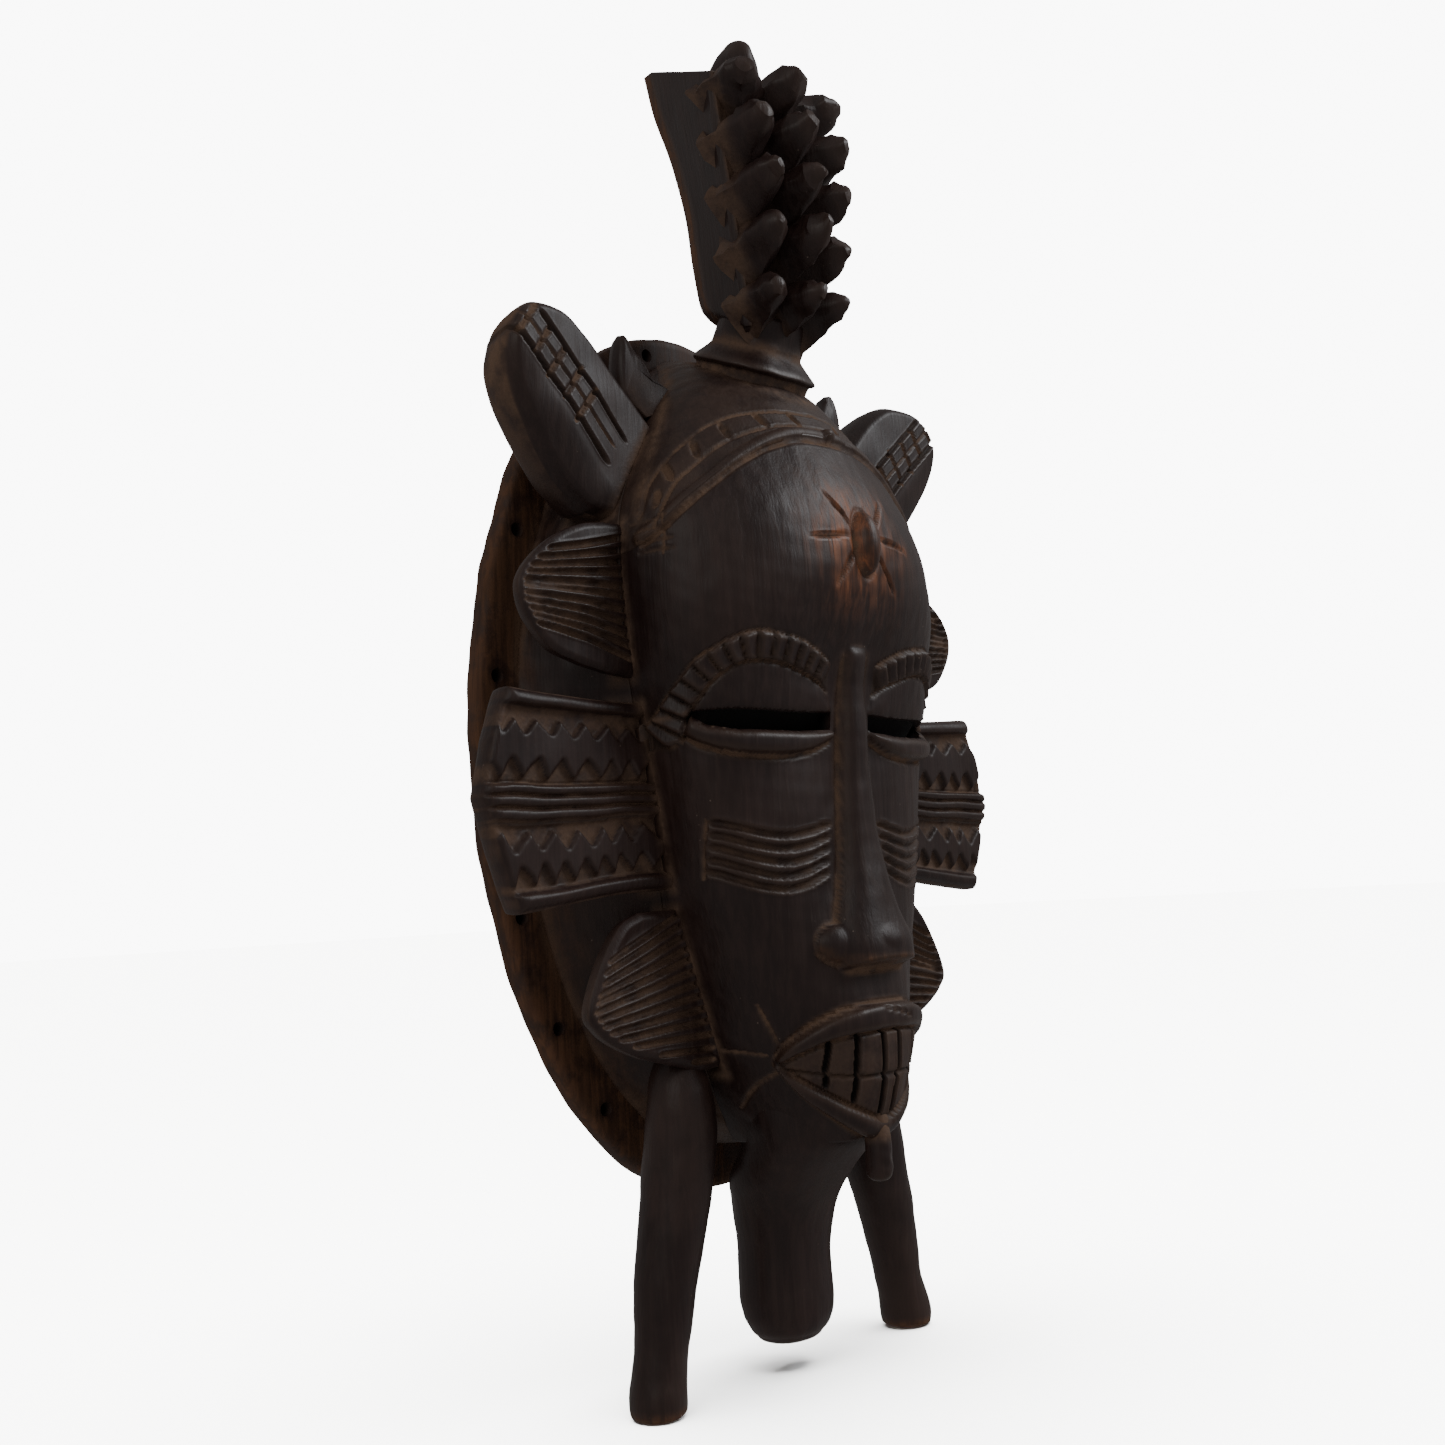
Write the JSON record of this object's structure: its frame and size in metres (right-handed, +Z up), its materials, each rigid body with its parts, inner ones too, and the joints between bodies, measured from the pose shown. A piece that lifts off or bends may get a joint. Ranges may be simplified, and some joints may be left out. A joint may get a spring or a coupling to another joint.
{
  "type": "carved wooden mask",
  "caption": "Oval hollow face mask in dark wood with a spiked crest, carved side plates, legs and a pierced flat back rim for hanging or tying on.",
  "frame": {"origin": "top centre of the flat back rim, in the plane that lies against a wall", "axes": "+Z up, -Y the way the face looks, +X to the right of someone facing the mask"},
  "size_m": [0.1852, 0.0701, 0.3442],
  "materials": {
    "back_bowl_wood": "dark stain, satin",
    "brow_left_wood": "dark stain, satin",
    "brow_right_wood": "dark stain, satin",
    "chin_post_wood": "dark stain, satin",
    "crest_pedestal_wood": "dark stain, satin",
    "crest_slab_wood": "dark stain, satin",
    "crest_spikes_left_wood": "dark stain, satin",
    "crest_spikes_middle_wood": "dark stain, satin",
    "crest_spikes_right_wood": "dark stain, satin",
    "crest_top_spike_wood": "dark stain, satin",
    "crown_wood": "dark stain, satin",
    "face_wood": "dark stain, satin",
    "forehead_boss_wood": "dark stain, satin",
    "headband_wood": "dark stain, satin",
    "horn_left_wood": "dark stain, satin",
    "horn_right_wood": "dark stain, satin",
    "leg_left_wood": "dark stain, satin",
    "leg_right_wood": "dark stain, satin",
    "lower_leaf_left_wood": "dark stain, satin",
    "lower_leaf_right_wood": "dark stain, satin",
    "lower_lid_left_wood": "dark stain, satin",
    "lower_lid_right_wood": "dark stain, satin",
    "lower_lip_wood": "dark stain, satin",
    "nose_wood": "dark stain, satin",
    "paddle_left_wood": "dark stain, satin",
    "paddle_right_wood": "dark stain, satin",
    "rim_flange_wood": "dark stain, satin",
    "teeth_lower_wood": "dark stain, satin",
    "teeth_upper_wood": "dark stain, satin",
    "tongue_peg_wood": "dark stain, satin",
    "upper_leaf_left_wood": "dark stain, satin",
    "upper_leaf_right_wood": "dark stain, satin",
    "upper_lip_wood": "dark stain, satin",
    "wing_left_wood": "dark stain, satin",
    "wing_right_wood": "dark stain, satin"
  },
  "bodies": {
    "root": {"back_bowl": "back_bowl_wood", "brow_left": "brow_left_wood", "brow_right": "brow_right_wood", "chin_post": "chin_post_wood", "crest_pedestal": "crest_pedestal_wood", "crest_slab": "crest_slab_wood", "crest_spikes_left": "crest_spikes_left_wood", "crest_spikes_middle": "crest_spikes_middle_wood", "crest_spikes_right": "crest_spikes_right_wood", "crest_top_spike": "crest_top_spike_wood", "crown": "crown_wood", "face": "face_wood", "forehead_boss": "forehead_boss_wood", "headband": "headband_wood", "horn_left": "horn_left_wood", "horn_right": "horn_right_wood", "leg_left": "leg_left_wood", "leg_right": "leg_right_wood", "lower_leaf_left": "lower_leaf_left_wood", "lower_leaf_right": "lower_leaf_right_wood", "lower_lid_left": "lower_lid_left_wood", "lower_lid_right": "lower_lid_right_wood", "lower_lip": "lower_lip_wood", "nose": "nose_wood", "paddle_left": "paddle_left_wood", "paddle_right": "paddle_right_wood", "rim_flange": "rim_flange_wood", "teeth_lower": "teeth_lower_wood", "teeth_upper": "teeth_upper_wood", "tongue_peg": "tongue_peg_wood", "upper_leaf_left": "upper_leaf_left_wood", "upper_leaf_right": "upper_leaf_right_wood", "upper_lip": "upper_lip_wood", "wing_left": "wing_left_wood", "wing_right": "wing_right_wood"}
  },
  "joints": []
}
